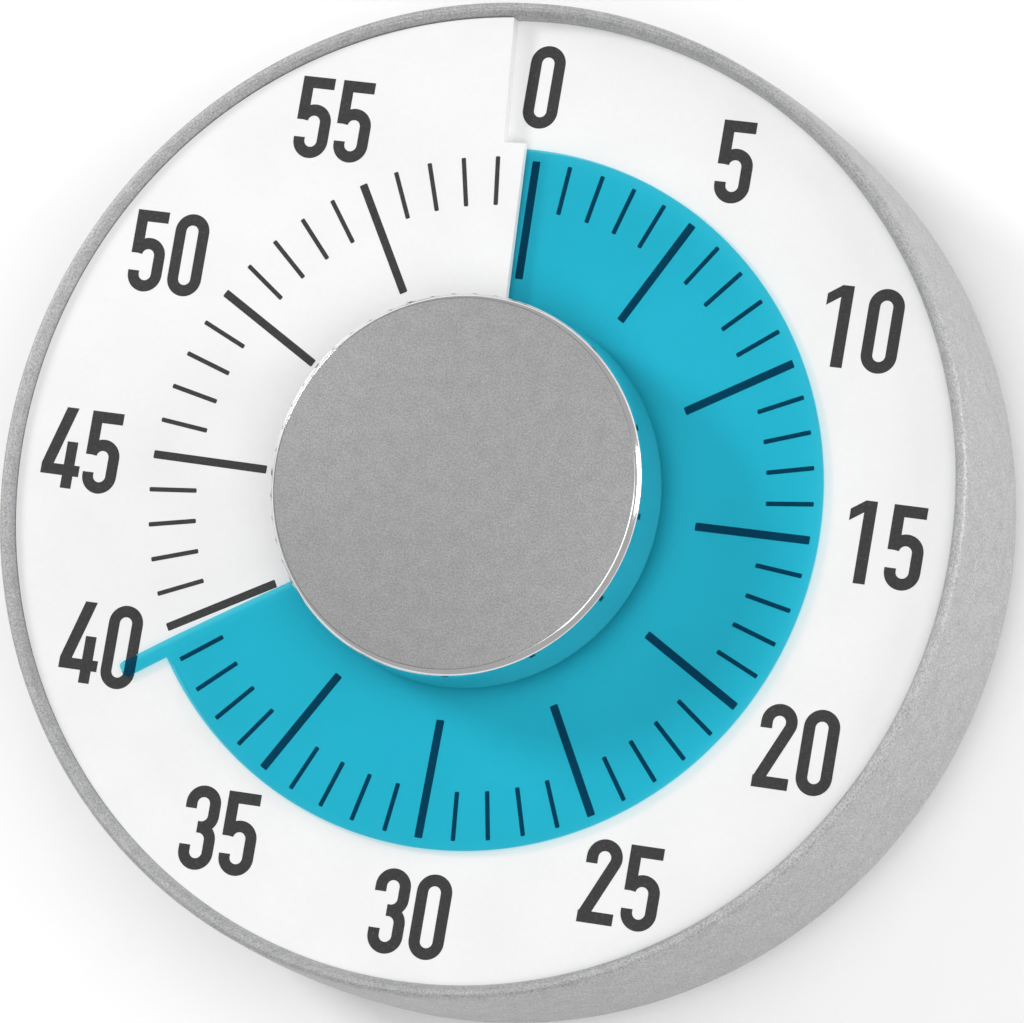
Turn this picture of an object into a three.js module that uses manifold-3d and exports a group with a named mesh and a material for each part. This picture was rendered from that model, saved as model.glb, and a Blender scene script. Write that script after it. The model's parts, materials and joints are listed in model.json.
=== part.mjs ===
// A 60-minute mechanical countdown timer, lying on its back with the dial up.
// Millimetres, +Z out of the dial, +Y towards the dial's 0, origin at the centre of the base.
import * as THREE from 'three';
import { mergeVertices } from 'three/addons/utils/BufferGeometryUtils.js';
import Module from 'manifold-3d';

const wasm = await Module();
wasm.setup();

// Sides of round shapes, from the case down to the pivots
const LARGE_SIDES = 48;
const MEDIUM_SIDES = 24;
const SMALL_SIDES = 16;
const TINY_SIDES = 10;

// Case
const CASE_RADIUS = 40;
const LIP_RADIUS = 39.5;
const CASE_BACK = 3.4;
const CASE_BORE = 37.4;
const CASE_MOUTH = 38.95;
const LEDGE_HEIGHT = 17.15;
const LEDGE_INNER = 36.5;
const BEZEL_INNER = 38.45;
const BEZEL_OUTER = 38.87;
const BEZEL_CREST = 0.09;

// Dial and disc: both are one shallow turn of a screw, so that the disc can leave the slit
const DIAL_HEIGHT = 19.1;
const DIAL_RADIUS = 38.38;
const DIAL_BORE = 9.2;
const DIAL_SKIN = 0.5;
const DIAL_RING = 28.25;
const DIAL_OVERLAP = 0.4;
const DIAL_SINK = 0.05;
const DIAL_SPAN = 359.9;
const SCREW_LIFT = 1.2;
const SLIT_ANGLE = -1.6;
const STEP_ANGLE = -5.2;
const DISH_SLOPE = 0.06;
const DISC_RADIUS = 27.94;
const DISC_BORE = 8.6;
const DISC_SKIN = 0.25;
const DISC_GAP = 0.2;
const DISC_SPAN = 356;
const DISC_EDGE = 238.6;
const TAB_REACH = 31.75;
const TAB_WIDTH = 1.35;
const LIP_HEIGHT = DIAL_HEIGHT + 1.25;

// Knob
const KNOB_RADIUS = 15.06;
const KNOB_TOP = DIAL_HEIGHT + 6.4;
const KNOB_BOTTOM = DIAL_HEIGHT + 0.8;
const KNOB_FACE_RADIUS = 14.56;
const KNOB_FACE_DEPTH = 0.76;
const KNOB_CEILING = 1.8;
const KNOB_WALL = 1.5;
const BOSS_RADIUS = 4.5;
const HUB_RADIUS = 8.5;
const HUB_TOP = 0.4;
const HUB_THICKNESS = 1.7;

// Back
const FOOT_HEIGHT = 1;
const FOOT_RADIUS = 4.5;
const FOOT_CIRCLE = 29;
const COVER_RADIUS = 36.5;
const COVER_THICKNESS = 2;
const COVER_RIM_HEIGHT = 4.4;
const COVER_RIM_WALL = 1.3;
const COVER_GAP = 0.3;
const SCREW_HEAD_RADIUS = 1.7;
const SCREW_RADIUS = 0.8;
const SCREW_LENGTH = 4;
const SCREW_RECESS = 0.9;
const BOSS_OVER_PILLAR = 2.6;
const MAGNET_RADIUS = 5;
const MAGNET_DEPTH = 1.2;
const MAGNET_CIRCLE = 27;

// Movement
const PLATE_RADIUS = 26.5;
const PLATE_FLAT = -16.8;
const PLATE_THICKNESS = 1;
const REAR_PLATE = 4.2;
const FRONT_PLATE = 14.8;
const ARBOR_RADIUS = 2.5;
const ARBOR_FLATS = 4;
const ARBOR_SPIGOT = 1.2;
const BUSHING_RADIUS = 4;
const PIVOT_RADIUS = 0.45;
const SPINDLE_RADIUS = 0.8;
const WHEEL_THICKNESS = 0.8;
const RUN = 0.2;
const SEAT = 0.02;
const FIT = 0.1;
const PIVOT_PLAY = 0.12;
const PILLAR_RADIUS = 2;
const PILLAR_SPIGOT = 0.9;
const PILLARS = [[18, 9], [-12, 21], [-14.5, -11.5], [17, -8.5]];

// Gear train: each stage is a wheel's teeth, its pinion's leaves and their module
const MAIN_STAGE = { teeth: 48, leaves: 8, module: 0.5, height: 10.6, pinion: [10.3, 12.2] };
const SECOND_STAGE = { teeth: 40, leaves: 8, module: 0.44, height: 12.5, pinion: [12.2, 13.5] };
const THIRD_STAGE = { teeth: 40, leaves: 8, module: 0.375, height: 13.6, pinion: [13.3, 14.5] };
const WHEEL_TOOTH = { tip: 0.85, root: 1.1, tipWidth: 0.2, rootWidth: 0.55 };
const PINION_TOOTH = { tip: 0.65, root: 1.3, tipWidth: 0.2, rootWidth: 0.42 };
const ESCAPE_TEETH = 24;
const ESCAPE_RADIUS = 5;
const ESCAPE_HEIGHT = 8.5;
const MAIN_CENTRE = new THREE.Vector2(0, 0);
const SECOND_CENTRE = awayFrom(MAIN_CENTRE, stageDistance(MAIN_STAGE), 90);
const THIRD_CENTRE = awayFrom(SECOND_CENTRE, stageDistance(SECOND_STAGE), 198);
const ESCAPE_CENTRE = awayFrom(THIRD_CENTRE, stageDistance(THIRD_STAGE), 200);
const BALANCE_CENTRE = awayFrom(ESCAPE_CENTRE, 7.5, 270);
const HAMMER_CENTRE = new THREE.Vector2(11, -14);
const BELL_CENTRE = new THREE.Vector2(0, -25.5);
const BELL_RADIUS = 8;
const BELL_WALL = 0.6;
const BELL_RIM = 5;
const BELL_CROWN = 12;
const BELL_BORE = 1.35;
const BELL_STUD = 1.25;
const HAMMER_LEVEL = 6.6;
const HAMMER_TOP = 13.6;
const HAMMER_REACH = 10.5;
const HAMMER_RADIUS = 1.6;
const BALANCE_RADIUS = 5.6;
const BALANCE_LEVEL = 6;
const MAINSPRING_BOTTOM = 5.8;
const MAINSPRING_TOP = 9.8;
const CAM_RADIUS = 4.3;
const CAM_BOTTOM = 13;
const CAM_THICKNESS = 0.7;

const SILVER = new THREE.MeshStandardMaterial({ color: 0xb4b4b4, roughness: 0.45, metalness: 0.6 });
const SATIN = new THREE.MeshStandardMaterial({ color: 0xa3a3a3, roughness: 0.5, metalness: 0.8 });
const CHROME = new THREE.MeshStandardMaterial({ color: 0xc8c8c8, roughness: 0.12, metalness: 1 });
const WHITE = new THREE.MeshStandardMaterial({ color: 0xf2f2f2, roughness: 0.45, metalness: 0 });
const BLUE_FILM = new THREE.MeshStandardMaterial({ color: 0x27b0ca, roughness: 0.35, metalness: 0 });
const GREY_PLASTIC = new THREE.MeshStandardMaterial({ color: 0x6d6f72, roughness: 0.55, metalness: 0 });
const RUBBER = new THREE.MeshStandardMaterial({ color: 0x202124, roughness: 0.9, metalness: 0 });
const STEEL = new THREE.MeshStandardMaterial({ color: 0x9fa3a6, roughness: 0.35, metalness: 1 });
const BRASS = new THREE.MeshStandardMaterial({ color: 0xc9a24a, roughness: 0.35, metalness: 1 });

const timer = new THREE.Group();

// Geometry helpers

function radians(degrees) {
  return degrees * Math.PI / 180;
}

function awayFrom(centre, distance, degrees) {
  const angle = radians(degrees);
  return new THREE.Vector2(centre.x + distance * Math.cos(angle), centre.y + distance * Math.sin(angle));
}

function stageDistance(stage) {
  return stage.module * (stage.teeth + stage.leaves) / 2;
}

function addPart(name, geometry, material, centre = MAIN_CENTRE, height = 0, turn = 0) {
  const mesh = new THREE.Mesh(geometry, material);
  mesh.name = name;
  mesh.position.set(centre.x, centre.y, height);
  mesh.rotation.z = turn;
  timer.add(mesh);
}

// A profile of [radius, height] points turned about Z; it ends on the axis or closes on itself.
function turned(profile, segments) {
  const points = profile.map(([radius, height]) => new THREE.Vector2(radius, height));
  return new THREE.LatheGeometry(points, segments).rotateX(Math.PI / 2);
}

function ring(profile, segments) {
  return turned([...profile, profile[0]], segments);
}

function cylinder(radius, bottom, top, segments) {
  return turned([[0, bottom], [radius, bottom], [radius, top], [0, top]], segments);
}

function tube(inner, outer, bottom, top, segments) {
  return ring([[inner, bottom], [outer, bottom], [outer, top], [inner, top]], segments);
}

function slab(shape, bottom, top) {
  const options = { depth: top - bottom, bevelEnabled: false, curveSegments: 12 };
  return new THREE.ExtrudeGeometry(shape, options).translate(0, 0, bottom);
}

function toSolid(geometry) {
  const bare = geometry.clone();
  bare.deleteAttribute('normal');
  bare.deleteAttribute('uv');
  const merged = mergeVertices(bare, 1e-5);
  const vertProperties = new Float32Array(merged.attributes.position.array);
  const triVerts = new Uint32Array(merged.index.array);
  return new wasm.Manifold(new wasm.Mesh({ numProp: 3, vertProperties, triVerts }));
}

function toGeometry(solid) {
  const mesh = solid.getMesh();
  const geometry = new THREE.BufferGeometry();
  geometry.setAttribute('position', new THREE.BufferAttribute(mesh.vertProperties, 3));
  geometry.setIndex(new THREE.BufferAttribute(mesh.triVerts, 1));
  return geometry;
}

function joined(...geometries) {
  return toGeometry(geometries.map(toSolid).reduce((whole, piece) => whole.add(piece)));
}

function cut(geometry, ...tools) {
  return toGeometry(tools.map(toSolid).reduce((whole, tool) => whole.subtract(tool), toSolid(geometry)));
}

function at(geometry, centre) {
  return geometry.clone().translate(centre.x, centre.y, 0);
}

// A box bent round the axis: clock angles run clockwise from the dial's 0, seen from the front.
function bentPlate({ inner, outer, from, to, rings, steps, top, bottom }) {
  const geometry = new THREE.BoxGeometry(1, 1, 1, steps, rings, 1);
  const position = geometry.attributes.position;
  for (let i = 0; i < position.count; i += 1) {
    const clock = from + (to - from) * (position.getX(i) + 0.5);
    const radius = inner + (outer - inner) * (position.getY(i) + 0.5);
    const surface = position.getZ(i) > 0 ? top : bottom;
    const angle = radians(90 - clock);
    position.setXYZ(i, radius * Math.cos(angle), radius * Math.sin(angle), surface(radius, clock));
  }
  return geometry;
}

function screwHeight(clock) {
  return DIAL_HEIGHT - SCREW_LIFT / 2 + SCREW_LIFT * clock / 360;
}

function dish(radius) {
  return -DISH_SLOPE * Math.max(0, DISC_RADIUS - radius);
}

// Case, bezel, dial and disc

function caseShell() {
  const backCorner = 0.7;
  const bulgeLow = 9;
  const bulgeHigh = 13.5;
  const neck = 18.4;
  const mouthChamfer = 0.05;
  return ring([
    [COVER_RADIUS + COVER_GAP, CASE_BACK],
    [CASE_RADIUS - backCorner, CASE_BACK],
    [CASE_RADIUS - 0.2, CASE_BACK + backCorner],
    [CASE_RADIUS, bulgeLow],
    [CASE_RADIUS - 0.1, bulgeHigh],
    [LIP_RADIUS + 0.2, neck],
    [LIP_RADIUS, LIP_HEIGHT - 0.2],
    [LIP_RADIUS - 0.15, LIP_HEIGHT],
    [CASE_MOUTH + mouthChamfer, LIP_HEIGHT],
    [CASE_MOUTH, LIP_HEIGHT - mouthChamfer],
    [CASE_MOUTH, LEDGE_HEIGHT],
    [LEDGE_INNER, LEDGE_HEIGHT],
    [CASE_BORE, LEDGE_HEIGHT - 2],
    [CASE_BORE, CASE_BACK + COVER_RIM_HEIGHT + 0.8],
    [COVER_RADIUS + COVER_GAP, CASE_BACK + COVER_RIM_HEIGHT + 0.2],
  ], LARGE_SIDES);
}

// The ring's inner side leans outwards, from the dial up to the lip.
function bezelRing() {
  return ring([
    [BEZEL_INNER, LEDGE_HEIGHT + SEAT],
    [BEZEL_OUTER, LEDGE_HEIGHT + SEAT],
    [BEZEL_OUTER, LIP_HEIGHT],
    [BEZEL_OUTER - BEZEL_CREST, LIP_HEIGHT],
    [BEZEL_INNER, DIAL_HEIGHT - SCREW_LIFT / 2],
  ], LARGE_SIDES);
}

function dialPlate() {
  const outerRing = bentPlate({
    inner: DIAL_RING, outer: DIAL_RADIUS, from: STEP_ANGLE, to: STEP_ANGLE + DIAL_SPAN,
    rings: 1, steps: LARGE_SIDES,
    top: (radius, clock) => screwHeight(clock), bottom: () => LEDGE_HEIGHT + SEAT,
  });
  const tickRing = bentPlate({
    inner: DIAL_BORE, outer: DIAL_RING + DIAL_OVERLAP, from: SLIT_ANGLE, to: SLIT_ANGLE + DIAL_SPAN,
    rings: 2, steps: LARGE_SIDES,
    top: (radius, clock) => screwHeight(clock) + dish(radius) - DIAL_SINK,
    bottom: (radius, clock) => screwHeight(clock) + dish(radius) - DIAL_SINK - DIAL_SKIN,
  });
  return joined(outerRing, tickRing);
}

function timeDisc() {
  const film = bentPlate({
    inner: DISC_BORE, outer: DISC_RADIUS, from: DISC_EDGE - DISC_SPAN, to: DISC_EDGE,
    rings: 2, steps: LARGE_SIDES,
    top: (radius, clock) => screwHeight(clock) + dish(radius) + DISC_GAP + DISC_SKIN,
    bottom: (radius, clock) => screwHeight(clock) + dish(radius) + DISC_GAP,
  });
  const tabSpan = TAB_WIDTH / TAB_REACH * 180 / Math.PI;
  const tab = bentPlate({
    inner: DISC_RADIUS - 1, outer: TAB_REACH, from: DISC_EDGE - tabSpan, to: DISC_EDGE, rings: 1, steps: 1,
    top: (radius, clock) => screwHeight(clock) + DISC_GAP + DISC_SKIN,
    bottom: (radius, clock) => screwHeight(clock) + DISC_GAP,
  });
  return joined(film, tab);
}

function flattedShape(radius, acrossFlats) {
  const half = acrossFlats / 2;
  const corner = Math.asin(half / radius);
  const shape = new THREE.Shape();
  shape.absarc(0, 0, radius, -corner, corner, false);
  shape.absarc(0, 0, radius, Math.PI - corner, Math.PI + corner, false);
  shape.closePath();
  return shape;
}

function flattedHole(bottom, top) {
  return slab(flattedShape(ARBOR_RADIUS + FIT, ARBOR_FLATS + 2 * FIT), bottom, top);
}

function discHub() {
  const top = DIAL_HEIGHT - HUB_TOP;
  const bottom = top - HUB_THICKNESS;
  const body = turned([[0, bottom], [HUB_RADIUS, bottom], [HUB_RADIUS, top], [0, top]], MEDIUM_SIDES);
  return cut(body, flattedHole(bottom - 1, top + 1));
}

// Knob

function knobBody() {
  const bossEnd = DIAL_HEIGHT + 1.2;
  const ceiling = KNOB_TOP - KNOB_CEILING;
  const seat = KNOB_TOP - KNOB_FACE_DEPTH - SEAT;
  const skirtInner = KNOB_RADIUS - KNOB_WALL;
  const flare = 0.2;
  const edge = 0.45;
  const shell = turned([
    [0, bossEnd],
    [BOSS_RADIUS, bossEnd],
    [BOSS_RADIUS, ceiling],
    [skirtInner, ceiling],
    [skirtInner, KNOB_BOTTOM],
    [KNOB_RADIUS + flare, KNOB_BOTTOM],
    [KNOB_RADIUS, KNOB_TOP - edge],
    [KNOB_RADIUS - 0.3 * edge, KNOB_TOP - 0.3 * edge],
    [KNOB_FACE_RADIUS + SEAT, KNOB_TOP],
    [KNOB_FACE_RADIUS + SEAT, seat],
    [0, seat],
  ], LARGE_SIDES);
  return cut(shell, flattedHole(bossEnd - 1, ceiling));
}

function knobFace() {
  return cylinder(KNOB_FACE_RADIUS, KNOB_TOP - KNOB_FACE_DEPTH, KNOB_TOP, LARGE_SIDES);
}

// Back

function rearCover() {
  const top = FOOT_HEIGHT + COVER_THICKNESS;
  const rimTop = CASE_BACK + COVER_RIM_HEIGHT;
  const corner = 0.5;
  const body = turned([
    [0, FOOT_HEIGHT],
    [COVER_RADIUS - corner, FOOT_HEIGHT],
    [COVER_RADIUS, FOOT_HEIGHT + corner],
    [COVER_RADIUS, rimTop],
    [COVER_RADIUS - COVER_RIM_WALL, rimTop],
    [COVER_RADIUS - COVER_RIM_WALL, top],
    [0, top],
  ], LARGE_SIDES);
  const atPillars = (geometry) => PILLARS.map(([x, y]) => geometry.clone().translate(x, y, 0));
  const bosses = atPillars(cylinder(BOSS_OVER_PILLAR, top - corner, REAR_PLATE - SEAT, SMALL_SIDES));
  const holes = atPillars(cylinder(SCREW_RADIUS + 2 * FIT, 0, REAR_PLATE + 1, TINY_SIDES));
  const recess = cylinder(SCREW_HEAD_RADIUS + 2 * FIT, 0, FOOT_HEIGHT + SCREW_RECESS, SMALL_SIDES);
  const recesses = atPillars(recess);
  const pocket = cylinder(MAGNET_RADIUS + FIT, 0, FOOT_HEIGHT + MAGNET_DEPTH + SEAT, MEDIUM_SIDES);
  const pockets = magnetCentres().map((centre) => at(pocket, centre));
  return cut(joined(body, ...bosses), ...holes, ...recesses, ...pockets);
}

function magnetCentres() {
  return [90, 210, 330].map((degrees) => awayFrom(MAIN_CENTRE, MAGNET_CIRCLE, degrees));
}

function footCentres() {
  return [30, 150, 270].map((degrees) => awayFrom(MAIN_CENTRE, FOOT_CIRCLE, degrees));
}

function rubberFoot() {
  const edge = 0.3;
  return turned([
    [0, 0],
    [FOOT_RADIUS - edge, 0],
    [FOOT_RADIUS, edge],
    [FOOT_RADIUS, FOOT_HEIGHT - SEAT],
    [0, FOOT_HEIGHT - SEAT],
  ], SMALL_SIDES);
}

function coverScrew() {
  const head = FOOT_HEIGHT + FIT;
  const seat = FOOT_HEIGHT + SCREW_RECESS - SEAT;
  const end = REAR_PLATE + SCREW_LENGTH;
  const shank = turned([
    [0, head],
    [SCREW_HEAD_RADIUS, head],
    [SCREW_HEAD_RADIUS, seat],
    [SCREW_RADIUS, seat],
    [SCREW_RADIUS, end],
    [0, end],
  ], TINY_SIDES);
  const slotWidth = 0.4;
  const slot = new THREE.BoxGeometry(3 * SCREW_HEAD_RADIUS, slotWidth, 1.5 * slotWidth).translate(0, 0, head);
  return cut(shank, slot);
}

// Movement frame

function plateShape() {
  const corner = Math.asin(PLATE_FLAT / PLATE_RADIUS);
  const shape = new THREE.Shape();
  shape.absarc(0, 0, PLATE_RADIUS, corner, Math.PI - corner, false);
  shape.closePath();
  return shape;
}

function addHole(shape, [x, y], radius) {
  const hole = new THREE.Path();
  hole.absarc(x, y, radius, 0, 2 * Math.PI, true);
  shape.holes.push(hole);
}

function movementPlate(bottom, arborHole) {
  const shape = plateShape();
  const pivots = [SECOND_CENTRE, THIRD_CENTRE, ESCAPE_CENTRE, BALANCE_CENTRE, HAMMER_CENTRE];
  pivots.forEach((centre) => addHole(shape, centre.toArray(), PIVOT_RADIUS + PIVOT_PLAY));
  PILLARS.forEach((centre) => addHole(shape, centre, PILLAR_SPIGOT + FIT));
  addHole(shape, [0, 0], arborHole);
  const options = { depth: PLATE_THICKNESS, bevelEnabled: false, curveSegments: 8 };
  return new THREE.ExtrudeGeometry(shape, options).translate(0, 0, bottom);
}

function pillar() {
  const bottom = REAR_PLATE + PLATE_THICKNESS + SEAT;
  const top = FRONT_PLATE - SEAT;
  const threadEnd = REAR_PLATE + SCREW_LENGTH + 1;
  const riveted = FRONT_PLATE + PLATE_THICKNESS + 0.4;
  return turned([
    [0, threadEnd],
    [PILLAR_SPIGOT, threadEnd],
    [PILLAR_SPIGOT, bottom],
    [PILLAR_RADIUS, bottom],
    [PILLAR_RADIUS, top],
    [PILLAR_SPIGOT, top],
    [PILLAR_SPIGOT, riveted],
    [0, riveted],
  ], TINY_SIDES);
}

function mainBushing() {
  const flange = FRONT_PLATE - 0.4;
  const bore = ARBOR_RADIUS + FIT;
  return ring([
    [bore, flange],
    [BUSHING_RADIUS + 0.8, flange],
    [BUSHING_RADIUS + 0.8, FRONT_PLATE - SEAT],
    [BUSHING_RADIUS, FRONT_PLATE - SEAT],
    [BUSHING_RADIUS, FRONT_PLATE + PLATE_THICKNESS],
    [bore, FRONT_PLATE + PLATE_THICKNESS],
  ], SMALL_SIDES);
}

// Arbors and wheels

function mainArbor() {
  const bottom = REAR_PLATE + FIT;
  const shoulder = bottom + PLATE_THICKNESS;
  const top = FRONT_PLATE + PLATE_THICKNESS + RUN;
  const shaft = turned([
    [0, bottom],
    [ARBOR_SPIGOT, bottom],
    [ARBOR_SPIGOT, shoulder],
    [ARBOR_RADIUS, shoulder],
    [ARBOR_RADIUS, top],
    [0, top],
  ], SMALL_SIDES);
  const flatsTop = KNOB_TOP - KNOB_CEILING - 0.3;
  const spigot = slab(flattedShape(ARBOR_RADIUS, ARBOR_FLATS), FRONT_PLATE, flatsTop);
  return joined(shaft, spigot);
}

// One tooth is a straight-sided trapezoid, given as fractions of the angle between teeth.
function toothedShape(teeth, module, { tip, root, tipWidth, rootWidth }) {
  const pitchRadius = teeth * module / 2;
  const outer = pitchRadius + tip * module;
  const inner = pitchRadius - root * module;
  const corners = [[inner, -rootWidth], [outer, -tipWidth], [outer, tipWidth], [inner, rootWidth]];
  const points = [];
  for (let tooth = 0; tooth < teeth; tooth += 1) {
    for (const [radius, side] of corners) {
      const angle = 2 * Math.PI * (tooth + side / 2) / teeth;
      points.push(new THREE.Vector2(radius * Math.cos(angle), radius * Math.sin(angle)));
    }
  }
  return new THREE.Shape(points);
}

function gearWheel(stage, bore) {
  const shape = toothedShape(stage.teeth, stage.module, WHEEL_TOOTH);
  addHole(shape, [0, 0], bore);
  const radius = stage.teeth * stage.module / 2;
  const windows = 4;
  const windowCircle = 0.58 * radius;
  const windowRadius = 0.2 * radius;
  for (let i = 0; i < windows; i += 1) {
    const angle = 2 * Math.PI * (i + 0.5) / windows;
    addHole(shape, [windowCircle * Math.cos(angle), windowCircle * Math.sin(angle)], windowRadius);
  }
  const options = { depth: WHEEL_THICKNESS, bevelEnabled: false, curveSegments: 8 };
  return new THREE.ExtrudeGeometry(shape, options);
}

function pivotedSpindle(height) {
  const low = REAR_PLATE + PLATE_THICKNESS + RUN;
  const high = FRONT_PLATE - RUN;
  const bottom = REAR_PLATE + FIT;
  const top = FRONT_PLATE + PLATE_THICKNESS - FIT;
  return turned([
    [0, bottom],
    [PIVOT_RADIUS, bottom],
    [PIVOT_RADIUS, low],
    [SPINDLE_RADIUS, low],
    [SPINDLE_RADIUS, height],
    [SPINDLE_RADIUS, high],
    [PIVOT_RADIUS, high],
    [PIVOT_RADIUS, top],
    [0, top],
  ], TINY_SIDES);
}

function pinionArbor(stage) {
  const leaves = slab(toothedShape(stage.leaves, stage.module, PINION_TOOTH), ...stage.pinion);
  return joined(pivotedSpindle(stage.height), leaves);
}

function wheelTurn(from, to) {
  return Math.atan2(to.y - from.y, to.x - from.x);
}

function pinionTurn(from, to, leaves) {
  return wheelTurn(from, to) + Math.PI / leaves;
}

// A ratchet-toothed wheel: each tooth rises straight and falls back along a slope.
function escapeWheel() {
  const points = [];
  for (let tooth = 0; tooth < ESCAPE_TEETH; tooth += 1) {
    const start = 2 * Math.PI * tooth / ESCAPE_TEETH;
    const lean = start + 0.3 * Math.PI / ESCAPE_TEETH;
    points.push(new THREE.Vector2(Math.cos(start), Math.sin(start)).multiplyScalar(ESCAPE_RADIUS - 1));
    points.push(new THREE.Vector2(Math.cos(lean), Math.sin(lean)).multiplyScalar(ESCAPE_RADIUS));
  }
  const shape = new THREE.Shape(points);
  addHole(shape, [0, 0], SPINDLE_RADIUS + FIT);
  return slab(shape, ESCAPE_HEIGHT, ESCAPE_HEIGHT + WHEEL_THICKNESS);
}

function balanceWheel() {
  const inner = BALANCE_RADIUS - 1;
  const barWidth = 1.2;
  const hubRadius = 1.6;
  const bottom = BALANCE_LEVEL;
  const top = bottom + WHEEL_THICKNESS;
  const rim = tube(inner, BALANCE_RADIUS, bottom, top, MEDIUM_SIDES);
  const bar = new THREE.BoxGeometry(2 * inner + 0.4, barWidth, WHEEL_THICKNESS);
  bar.translate(0, 0, (bottom + top) / 2);
  const hub = cylinder(hubRadius, bottom, top, TINY_SIDES);
  const bore = cylinder(SPINDLE_RADIUS + FIT, bottom - 1, top + 1, TINY_SIDES);
  return cut(joined(rim, bar, hub), bore);
}

function pallet() {
  const reach = 2.6;
  const plateTop = ESCAPE_HEIGHT - 0.3;
  const thickness = 0.5;
  const armWidth = 0.8;
  const pinRadius = 0.22;
  const hubRadius = 1.4;
  const arms = [45, -45].flatMap((degrees) => {
    const arm = new THREE.BoxGeometry(reach, armWidth, thickness);
    arm.translate(reach / 2, 0, plateTop - thickness / 2);
    const pin = cylinder(pinRadius, plateTop - FIT, ESCAPE_HEIGHT + 1, TINY_SIDES);
    pin.translate(reach - pinRadius, 0, 0);
    return [arm.rotateZ(radians(degrees)), pin.rotateZ(radians(degrees))];
  });
  const hub = cylinder(hubRadius, plateTop - thickness, plateTop, TINY_SIDES);
  const bore = cylinder(SPINDLE_RADIUS + FIT, plateTop - 2, plateTop + 2, TINY_SIDES);
  return cut(joined(hub, ...arms), bore);
}

// A flat spiral strip standing on edge, from the arbor out to its last coil.
function mainspring() {
  const coils = 4;
  const start = ARBOR_RADIUS + 0.6;
  const growth = 1.3;
  const thickness = 0.35;
  const stepsPerCoil = 14;
  const outerSide = [];
  const innerSide = [];
  for (let i = 0; i <= coils * stepsPerCoil; i += 1) {
    const angle = 2 * Math.PI * i / stepsPerCoil;
    const radius = start + growth * i / stepsPerCoil;
    const direction = new THREE.Vector2(Math.cos(angle), Math.sin(angle));
    outerSide.push(direction.clone().multiplyScalar(radius + thickness));
    innerSide.unshift(direction.clone().multiplyScalar(radius));
  }
  return slab(new THREE.Shape([...outerSide, ...innerSide]), MAINSPRING_BOTTOM, MAINSPRING_TOP);
}

function clutchSpring() {
  const bottom = MAIN_STAGE.height + WHEEL_THICKNESS + SEAT;
  const cone = 0.25;
  const thickness = 0.15;
  const inner = ARBOR_RADIUS + FIT;
  const outer = 2 * ARBOR_RADIUS;
  return ring([
    [inner, bottom + cone],
    [outer, bottom],
    [outer, bottom + thickness],
    [inner, bottom + cone + thickness],
  ], SMALL_SIDES);
}

function strikeCam() {
  const top = CAM_BOTTOM + CAM_THICKNESS;
  const notch = new THREE.BoxGeometry(1.6, 1.2, 4).translate(CAM_RADIUS, 0, top);
  return cut(tube(ARBOR_RADIUS + FIT, CAM_RADIUS, CAM_BOTTOM, top, SMALL_SIDES), notch);
}

// Hammer and bell

function hammer() {
  const width = 1.2;
  const thickness = 0.8;
  const tailLength = 11.2;
  const tailThickness = 0.6;
  const tailTurn = radians(38);
  const hub = cylinder(HAMMER_RADIUS, HAMMER_LEVEL, HAMMER_TOP, TINY_SIDES);
  const arm = new THREE.BoxGeometry(width, HAMMER_REACH, thickness);
  arm.translate(0, -HAMMER_REACH / 2, HAMMER_LEVEL + thickness);
  const head = cylinder(HAMMER_RADIUS, HAMMER_LEVEL, HAMMER_LEVEL + 2, SMALL_SIDES);
  head.translate(-width / 2, -HAMMER_REACH, 0);
  const tail = new THREE.BoxGeometry(width, tailLength, tailThickness);
  tail.translate(0, tailLength / 2, HAMMER_TOP - tailThickness / 2).rotateZ(tailTurn);
  const bore = cylinder(SPINDLE_RADIUS + FIT, HAMMER_LEVEL - 1, HAMMER_TOP + 1, TINY_SIDES);
  return cut(joined(hub, arm, head, tail), bore);
}

function hammerSpring() {
  const wireRadius = 0.2;
  const wire = new THREE.Shape();
  wire.absarc(0, 0, wireRadius, 0, 2 * Math.PI, false);
  const bends = [[19.4, -8.5, 9.4], [20.4, -12, 9.4], [18, -16, 8.8], [13.4, -19, 7.4]];
  const route = new THREE.CatmullRomCurve3(bends.map((point) => new THREE.Vector3(...point)));
  const options = { steps: 12, extrudePath: route, curveSegments: 4, bevelEnabled: false };
  return new THREE.ExtrudeGeometry(wire, options);
}

function bell() {
  const side = BELL_CROWN - 2.6;
  const shoulder = BELL_CROWN - 1;
  return ring([
    [BELL_BORE, BELL_CROWN - BELL_WALL],
    [BELL_RADIUS - 3.2, BELL_CROWN - BELL_WALL],
    [BELL_RADIUS - 1.3, shoulder - 0.4],
    [BELL_RADIUS - BELL_WALL, side - 0.2],
    [BELL_RADIUS - BELL_WALL, BELL_RIM],
    [BELL_RADIUS, BELL_RIM],
    [BELL_RADIUS, side],
    [BELL_RADIUS - 0.8, shoulder],
    [BELL_RADIUS - 3, BELL_CROWN],
    [BELL_BORE, BELL_CROWN],
  ], MEDIUM_SIDES);
}

function bellPost() {
  const base = FOOT_HEIGHT + COVER_THICKNESS + SEAT;
  const shoulder = BELL_CROWN - BELL_WALL - SEAT;
  const end = BELL_CROWN + 1.2;
  return turned([
    [0, base],
    [PILLAR_RADIUS + 1, base],
    [PILLAR_RADIUS + 1, base + 1],
    [PILLAR_RADIUS, base + 1.4],
    [PILLAR_RADIUS, shoulder],
    [BELL_STUD, shoulder],
    [BELL_STUD, end],
    [0, end],
  ], SMALL_SIDES);
}

function bellNut() {
  const hexagon = cylinder(2 * BELL_STUD, BELL_CROWN + SEAT, BELL_CROWN + 1, 6);
  return cut(hexagon, cylinder(BELL_BORE, BELL_CROWN - 1, BELL_CROWN + 2, SMALL_SIDES));
}

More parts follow.
